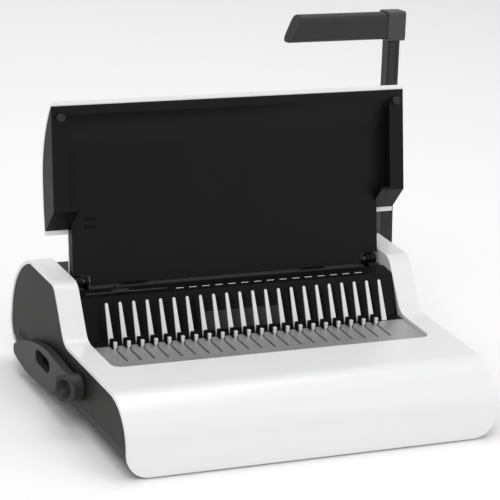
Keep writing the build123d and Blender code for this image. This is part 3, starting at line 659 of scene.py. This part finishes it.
@dataclass
class Shell:
    """White housing, side panels, bottom pan, feet, rear cover and their screws.

    Attributes:
        workshop: makes the pieces.
        screw_radius: radius of a screw head, mm.
        screw_sides: number of sides of its rim.
        head_height: height of the head, mm.
        head_taper: width of its top as a part of its foot.
        recess_rim: width of the rim around its recess, as a part of the radius.
        recess_depth: depth of the recess, mm.
        side_inset: distance of the screws from the side frame's outer face, mm.
        front_inset: distance of the first screws from the pan's front, mm.
        rear_inset: distance of the last screws from the pan's rear, mm.
    """

    workshop: Workshop
    screw_radius: float = 3.2
    screw_sides: int = 32
    head_height: float = 1.4
    head_taper: float = 0.75
    recess_rim: float = 0.35
    recess_depth: float = 0.8
    side_inset: float = 1.5
    front_inset: float = 70.0
    rear_inset: float = 16.0

    def build(self) -> None:
        """Builds every piece of the shell."""
        self.workshop.finished(Rounding(1.1, 3), "housing")
        self.workshop.finished(Rounding(0.8), "rear_cover")
        self.workshop.finished(Rounding(0.5), "left_side_panel", "right_side_panel", "bottom_pan")
        self.workshop.finished(Rounding(0.4), "feet")
        self.workshop.finished(Rounding(1.0), "lid_rest_pads")
        self.base_screws()

    def screw_head(self, spot: Vector) -> Shape:
        """Makes one tapered screw head, under the pan.

        Args:
            spot: middle of the head's seat.

        Returns:
            The head.
        """
        bm = bmesh.new()
        radius = self.screw_radius * MM
        rim = bmesh.ops.create_circle(bm, cap_ends=True, segments=self.screw_sides, radius=radius)
        face = rim["verts"][0].link_faces[0]
        raised = bmesh.ops.extrude_face_region(bm, geom=[face])
        top = [v for v in raised["geom"] if isinstance(v, bmesh.types.BMVert)]
        bmesh.ops.translate(bm, verts=top, vec=(0, 0, -self.head_height * MM))
        bmesh.ops.scale(bm, verts=top, vec=(self.head_taper, self.head_taper, 1.0))
        cap = [f for f in raised["geom"] if isinstance(f, bmesh.types.BMFace)]
        bmesh.ops.inset_individual(bm, faces=cap, thickness=radius * self.recess_rim, depth=0.0)
        sunk = bmesh.ops.extrude_face_region(bm, geom=cap)
        floor = [v for v in sunk["geom"] if isinstance(v, bmesh.types.BMVert)]
        bmesh.ops.translate(bm, verts=floor, vec=(0, 0, self.recess_depth * MM))
        bmesh.ops.translate(bm, verts=bm.verts[:], vec=spot)
        bmesh.ops.recalc_face_normals(bm, faces=bm.faces[:])
        return bm

    def base_screws(self) -> None:
        """Builds the screws that hold the pan to the frames."""
        low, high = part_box("bottom_pan")
        frame_low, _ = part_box("frame_left")
        side = frame_low.x + self.side_inset * MM
        rows = (low.y + self.front_inset * MM, (low.y + high.y) / 2, high.y - self.rear_inset * MM)
        heads = [self.screw_head(Vector((x, y, low.z))) for x in (side, -side) for y in rows]
        self.workshop.piece("base_screws", join_shapes(heads), "machine", STEEL)


@dataclass
class CombTray:
    """Slotted tray, its fingers and the rake that opens the comb."""

    workshop: Workshop

    def build(self) -> None:
        """Builds every piece of the tray."""
        self.workshop.finished(Rounding(0.25), "tray_plate", "finger_flange")
        self.workshop.finished(Rounding(0.35, 3), "comb_fingers")
        self.workshop.finished(Rounding(0.25), "rake_hooks")
        self.workshop.finished(Rounding(0.1, 1), "hook_guards")
        self.workshop.finished(Rounding(0.15, 1), "rake_plate", "rake_rails", "racks")


@dataclass
class Punch:
    """Black punch cover, its marks and guides, the dies and the punch itself.

    Attributes:
        workshop: makes the pieces.
        dash_count: number of dashes on the deck.
        first_dash: place of the first dash, in pitches from the machine's middle.
        pitch: distance between the dashes, mm.
        dash_length: length of a dash, mm.
        dash_width: width of a dash, mm.
        dash_lift: height of a dash above the deck, mm.
        dash_rounding: rounding of its edges.
        row_inset: distance of the dashes from the cover's rear, mm.
        deck_slope: slope of the deck, in radians.
    """

    workshop: Workshop
    dash_count: int = 15
    first_dash: float = -4.5
    pitch: float = 14.2875
    dash_length: float = 8.0
    dash_width: float = 1.1
    dash_lift: float = 0.14
    dash_rounding: Rounding = Rounding(0.05, 1)
    row_inset: float = 12.5
    deck_slope: float = 1.7 / 19.0

    def build(self) -> None:
        """Builds every piece of the punch."""
        finished = self.workshop.finished
        finished(Rounding(0.6), "punch_cover")
        finished(Rounding(0.4), "comb_guide_plate")
        finished(Rounding(0.5, 3), "edge_guide_rail")
        finished(Rounding(0.9, 3), "edge_guide")
        finished(Rounding(0.2, 1), "die_front", "die_back", "die_spacer", "die_bolts")
        finished(Rounding(0.2, 1), "punch_bar", "punch_pins")
        finished(Rounding(0.3, 1), "punch_yokes", "eccentric_discs", "punch_shaft", "bushings", "frame_ties")
        finished(Rounding(0.25, 1), "frame_left", "frame_right", "hinge_brackets", "hinge_pins")
        self.hole_marks()

    def hole_marks(self) -> None:
        """Builds the row of pale dashes on the deck, one to a pitch."""
        _, cover_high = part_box("punch_cover")
        half = Vector((self.dash_length / 2, self.dash_width / 2, self.dash_lift)) * MM
        row_y = cover_high.y - self.row_inset * MM
        row_z = cover_high.z - (cover_high.y - row_y) * self.deck_slope
        turn = Matrix.Rotation(self.deck_slope, 3, "X")
        dashes = []
        for index in range(self.dash_count):
            spot = Vector(((index + self.first_dash) * self.pitch * MM, row_y, row_z))
            dash = rounded_block(spot - half, spot + half, self.dash_rounding)
            bmesh.ops.rotate(dash, verts=dash.verts[:], cent=spot, matrix=turn)
            dashes.append(dash)
        self.workshop.piece("hole_marks", join_shapes(dashes), "machine", HOOK_WHITE)


@dataclass
class Lid:
    """Folding lid: white skin, dark liner, bumpers, knuckles and two small black blocks of painted shade on
    the liner.

    Attributes:
        workshop: makes the pieces.
        lean: how far the open lid leans back, in degrees.
        shade_left: left end of a block of painted shade, mm.
        shade_right: right end of a block of painted shade, mm.
        shade_depth: how far a block of painted shade stands off the liner, mm.
        shade_height: height of a block of painted shade, mm.
        shade_feet: distance of each block's foot from the hinge, mm.
        shade_rounding: rounding of its edges.
    """

    workshop: Workshop
    lean: float = 13.4
    shade_left: float = -155.0
    shade_right: float = -143.0
    shade_depth: float = 1.2
    shade_height: float = 2.2
    shade_feet: tuple[float, ...] = (52.0, 60.0)
    shade_rounding: Rounding = Rounding(0.4, 3)

    def build(self) -> None:
        """Builds every piece of the lid."""
        self.workshop.finished(Rounding(0.7, 3), "lid_cover")
        self.workshop.finished(Rounding(0.9, 3), "lid_liner")
        self.workshop.finished(Rounding(0.8, 3), "lid_bumpers")
        self.workshop.finished(Rounding(0.3), "lid_knuckles")
        self.painted_shade_blocks()

    def painted_shade_blocks(self) -> None:
        """Builds two short black blocks low on the left of the liner, as painted shade: dark pieces that
        stand in for the shade that falls there.
        """
        # Painted shade: these black blocks are not parts of the machine, they darken the liner where shade
        # falls.
        shade_pieces = [
            rounded_block(
                Vector((self.shade_left, -self.shade_depth, foot)) * MM,
                Vector((self.shade_right, 0.0, foot + self.shade_height)) * MM,
                self.shade_rounding,
            )
            for foot in self.shade_feet
        ]
        whole = lean_shapes(shade_pieces, self.lean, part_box("hinge_pins"))
        # The black_cover finish on these blocks is painted shade.
        self.workshop.piece("painted_shade_blocks", whole, "lid", BLACK_COVER)


@dataclass
class Controls:
    """Punch handle at the right and opener lever at the left, with their shafts and gears.

    Attributes:
        workshop: makes the pieces.
        arm_lean: how far the handle arm leans back, in degrees.
        arm_front: front of the arm before it leans, from the pivot, mm.
        rib_width: width of a rib, mm.
        rib_height: height of a rib from front to rear, mm.
        rib_spacing: distance between the ribs, mm.
        rib_shift: how far the pair is right of the arm's middle, mm.
        rib_foot: foot of the ribs above the pivot, mm.
        rib_top: top of the ribs above the pivot, mm.
        rib_rounding: rounding of their edges.
    """

    workshop: Workshop
    arm_lean: float = 6.4
    arm_front: float = -7.3
    rib_width: float = 2.2
    rib_height: float = 1.5
    rib_spacing: float = 8.0
    rib_shift: float = 1.2
    rib_foot: float = 152.0
    rib_top: float = 268.0
    rib_rounding: Rounding = Rounding(0.45, 3)

    def build(self) -> None:
        """Builds every piece of the controls."""
        self.workshop.finished(Rounding(1.6, 3), "handle_arm")
        self.workshop.finished(Rounding(0.8), "handle_grip")
        self.workshop.finished(Rounding(1.0, 3), "handle_corner")
        self.workshop.finished(Rounding(0.5), "hub_cap")
        self.workshop.finished(Rounding(1.2, 3), "opener_lever")
        self.workshop.finished(Rounding(0.15, 1), "opener_shaft", "pinions")
        self.arm_ribs()

    def arm_ribs(self) -> None:
        """Builds two low ribs along the front of the handle arm, below the corner block."""
        low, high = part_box("handle_arm")
        middle = (low.x + high.x) / 2 + self.rib_shift * MM
        half = self.rib_width * MM / 2
        front = self.arm_front * MM
        ribs = []
        for side in (-1, 1):
            across = middle + side * self.rib_spacing * MM / 2
            rib = rounded_block(
                Vector((across - half, front, self.rib_foot * MM)),
                Vector((across + half, front + self.rib_height * MM, self.rib_top * MM)),
                self.rib_rounding,
            )
            ribs.append(rib)
        whole = lean_shapes(ribs, self.arm_lean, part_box("punch_shaft"))
        self.workshop.piece("arm_ribs", whole, "handle", HANDLE_GREY)


@dataclass
class Drawer:
    """Chip drawer at the back."""

    workshop: Workshop

    def build(self) -> None:
        """Builds the drawer."""
        self.workshop.finished(Rounding(0.7), "chip_drawer")


@dataclass(frozen=True)
class Lamp:
    """A soft area light.

    Attributes:
        name: its name.
        spot: where it stands, metres.
        size: its width, metres.
        power: watts.
    """

    name: str
    spot: tuple[float, float, float]
    size: float
    power: float


@dataclass
class Studio:
    """Floor, lights and camera.

    Attributes:
        eye: where the camera stands, metres.
        right: direction of the picture's right side.
        up: direction of the picture's top.
        lens: focal length, mm.
        sensor: width of the sensor, mm.
        reach: distance up to which the camera sees, metres.
        floor_size: width of the floor, metres.
        floor_tone: grey of the floor.
        floor_roughness: roughness of the floor.
        target: point that the lights face, metres.
        lamps: the lights.
        surround: strength of the light from all around.
    """

    eye: tuple[float, float, float] = (-1.045, -2.0464, 0.9724)
    right: tuple[float, float, float] = (0.9023, -0.4228, 0.0838)
    up: tuple[float, float, float] = (0.0713, 0.3383, 0.9383)
    lens: float = 178.9
    sensor: float = 36.0
    reach: float = 50.0
    floor_size: float = 12.0
    floor_tone: float = 0.97
    floor_roughness: float = 0.9
    target: tuple[float, float, float] = (0.0, 0.0, 0.12)
    lamps: tuple[Lamp, ...] = (
        Lamp("key", (-1.2, -1.6, 2.4), 1.8, 27.0),
        Lamp("fill", (1.9, -1.5, 1.2), 1.8, 10.0),
        Lamp("top", (0.2, 0.7, 2.6), 2.0, 27.0),
    )
    surround: float = 0.5

    def build(self) -> None:
        """Builds the studio."""
        self.floor()
        self.lights()
        self.camera()

    def floor(self) -> None:
        """Builds the plain pale floor."""
        bm = bmesh.new()
        bmesh.ops.create_grid(bm, x_segments=2, y_segments=2, size=self.floor_size / 2)
        mesh = bpy.data.meshes.new("floor")
        bm.to_mesh(mesh)
        bm.free()
        material = bpy.data.materials.new("floor_paper")
        material.use_nodes = True
        shader = material.node_tree.nodes["Principled BSDF"]
        shader.inputs["Base Color"].default_value = (*[self.floor_tone] * 3, 1.0)
        shader.inputs["Roughness"].default_value = self.floor_roughness
        mesh.materials.append(material)
        floor = bpy.data.objects.new("floor", mesh)
        bpy.context.scene.collection.objects.link(floor)

    def area_light(self, lamp: Lamp) -> None:
        """Adds a light that faces the target."""
        data = bpy.data.lights.new(lamp.name, "AREA")
        data.size = lamp.size
        data.energy = lamp.power
        light = bpy.data.objects.new(lamp.name, data)
        light.location = lamp.spot
        facing = Vector(self.target) - Vector(lamp.spot)
        light.rotation_euler = facing.to_track_quat("-Z", "Y").to_euler()
        bpy.context.scene.collection.objects.link(light)

    def lights(self) -> None:
        """Adds the key, fill and top lights and a pale surrounding."""
        for lamp in self.lamps:
            self.area_light(lamp)
        world = bpy.data.worlds.new("surround")
        world.use_nodes = True
        sky = world.node_tree.nodes["Background"]
        sky.inputs["Color"].default_value = (1.0, 1.0, 1.0, 1.0)
        sky.inputs["Strength"].default_value = self.surround
        bpy.context.scene.world = world

    def camera(self) -> None:
        """Adds the camera."""
        data = bpy.data.cameras.new("camera")
        data.lens = self.lens
        data.sensor_width = self.sensor
        data.clip_end = self.reach
        right = Vector(self.right).normalized()
        up = (Vector(self.up) - right * right.dot(Vector(self.up))).normalized()
        turn = Matrix((right, up, right.cross(up))).transposed()
        viewer = bpy.data.objects.new("camera", data)
        viewer.matrix_world = Matrix.Translation(Vector(self.eye)) @ turn.to_4x4()
        bpy.context.scene.collection.objects.link(viewer)
        bpy.context.scene.camera = viewer


def main() -> None:
    """Builds the machine and its studio."""
    logging.basicConfig(level=logging.INFO)
    workshop = Workshop(Palette())
    for assembly in (
        Shell(workshop),
        CombTray(workshop),
        Punch(workshop),
        Lid(workshop),
        Controls(workshop),
        Drawer(workshop),
        Studio(),
    ):
        assembly.build()
    bpy.context.scene.view_settings.view_transform = "Standard"


if __name__ == "__main__":
    main()
